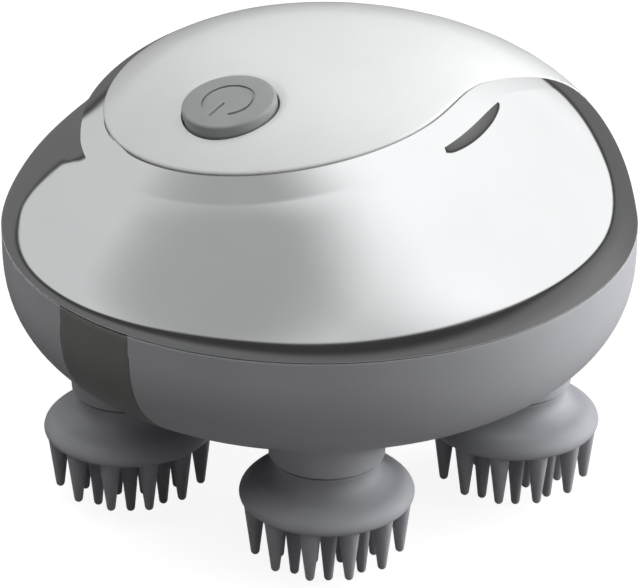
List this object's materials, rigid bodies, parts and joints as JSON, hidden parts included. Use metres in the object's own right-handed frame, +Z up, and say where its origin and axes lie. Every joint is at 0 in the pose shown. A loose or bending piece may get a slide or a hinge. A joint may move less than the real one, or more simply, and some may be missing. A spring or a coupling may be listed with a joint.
{
  "type": "electric scalp massager",
  "caption": "Domed palm-held scalp massager: white cover and chrome shell over a grey bowl, with geared turning silicone finger heads and a push button.",
  "frame": {"origin": "on the body's vertical axis, in the plane of the lowest fingertips", "axes": "+Z up from the fingertips to the top of the dome, -Y the front with the dark inlay and the button, +X the right side"},
  "size_m": [0.1076, 0.1076, 0.0771],
  "materials": {
    "soft_touch_grey": "soft-touch lacquer over ABS",
    "inlay_dark": "satin moulded ABS",
    "chrome_plate": "bright chrome plating over ABS",
    "white_gloss": "high gloss moulded ABS",
    "button_grey": "satin moulded ABS",
    "silicone_grey": "moulded silicone rubber",
    "seal_black": "silicone rubber",
    "steel": "ground steel",
    "bronze_bush": "sintered bronze",
    "acetal": "moulded acetal",
    "black_nylon": "glass-filled nylon",
    "board_green": "solder resist",
    "cell_wrap": "shrink-wrapped cell"
  },
  "bodies": {
    "housing": {"lower_housing": "soft_touch_grey", "front_inlay": "inlay_dark", "seal_ring": "seal_black", "chrome_shell": "chrome_plate", "top_cover": "white_gloss", "tact_switch": "steel", "circuit_board": "board_green", "inner_frame": "black_nylon", "battery_cell": "cell_wrap", "charging_socket": "black_nylon", "gear_plate": "black_nylon", "plate_screws": "steel", "motor_can": "steel", "motor_gearhead": "steel", "centre_axle": "steel", "shaft_bush_1": "bronze_bush", "shaft_bush_2": "bronze_bush", "shaft_bush_3": "bronze_bush", "shaft_bush_4": "bronze_bush", "shaft_bush_5": "bronze_bush", "shaft_seal_1": "seal_black", "shaft_seal_2": "seal_black", "shaft_seal_3": "seal_black", "shaft_seal_4": "seal_black", "shaft_seal_5": "seal_black"},
    "button": {"power_button": "button_grey", "switch_plunger": "black_nylon"},
    "centre_wheel": {"centre_gear": "acetal"},
    "pinion": {"motor_pinion": "steel", "gearhead_shaft": "steel"},
    "head_1": {"massage_pad_1": "silicone_grey", "pad_hub_1": "acetal", "output_shaft_1": "steel", "head_gear_1": "acetal"},
    "head_2": {"massage_pad_2": "silicone_grey", "pad_hub_2": "acetal", "output_shaft_2": "steel", "head_gear_2": "acetal"},
    "head_3": {"massage_pad_3": "silicone_grey", "pad_hub_3": "acetal", "output_shaft_3": "steel", "head_gear_3": "acetal"},
    "head_4": {"massage_pad_4": "silicone_grey", "pad_hub_4": "acetal", "output_shaft_4": "steel", "head_gear_4": "acetal"},
    "head_5": {"massage_pad_5": "silicone_grey", "pad_hub_5": "acetal", "output_shaft_5": "steel", "head_gear_5": "acetal"}
  },
  "joints": [
    {"name": "button_press", "type": "slide", "parent": "housing", "child": "button", "axis": [-0.0266, 0.2924, -0.9559], "range_m": [0, 0.0006], "stiffness_N_per_m": 1500},
    {"name": "centre_gear_spin", "type": "hinge", "parent": "housing", "child": "centre_wheel", "pos_m": [0, 0, 0.03], "axis": [0, 0, 1], "continuous": true},
    {"name": "pinion_spin", "type": "hinge", "parent": "housing", "child": "pinion", "pos_m": [-0.02227, 0.02227, 0.036], "axis": [0, 0, 1], "continuous": true},
    {"name": "head_1_spin", "type": "hinge", "parent": "housing", "child": "head_1", "pos_m": [0.0244, -0.0244, 0.02], "axis": [0, 0, 1], "continuous": true},
    {"name": "head_2_spin", "type": "hinge", "parent": "housing", "child": "head_2", "pos_m": [0.03074, 0.01566, 0.02], "axis": [0, 0, 1], "continuous": true},
    {"name": "head_3_spin", "type": "hinge", "parent": "housing", "child": "head_3", "pos_m": [-0.0054, 0.03408, 0.02], "axis": [0, 0, 1], "continuous": true},
    {"name": "head_4_spin", "type": "hinge", "parent": "housing", "child": "head_4", "pos_m": [-0.03408, 0.0054, 0.02], "axis": [0, 0, 1], "continuous": true},
    {"name": "head_5_spin", "type": "hinge", "parent": "housing", "child": "head_5", "pos_m": [-0.01566, -0.03074, 0.02], "axis": [0, 0, 1], "continuous": true}
  ],
  "couplings": [
    {"joint": "pinion_spin", "follows": "centre_gear_spin", "ratio": -3.5},
    {"joint": "head_1_spin", "follows": "centre_gear_spin", "ratio": -2.45},
    {"joint": "head_2_spin", "follows": "centre_gear_spin", "ratio": -2.45},
    {"joint": "head_3_spin", "follows": "centre_gear_spin", "ratio": -2.45},
    {"joint": "head_4_spin", "follows": "centre_gear_spin", "ratio": -2.45},
    {"joint": "head_5_spin", "follows": "centre_gear_spin", "ratio": -2.45}
  ]
}
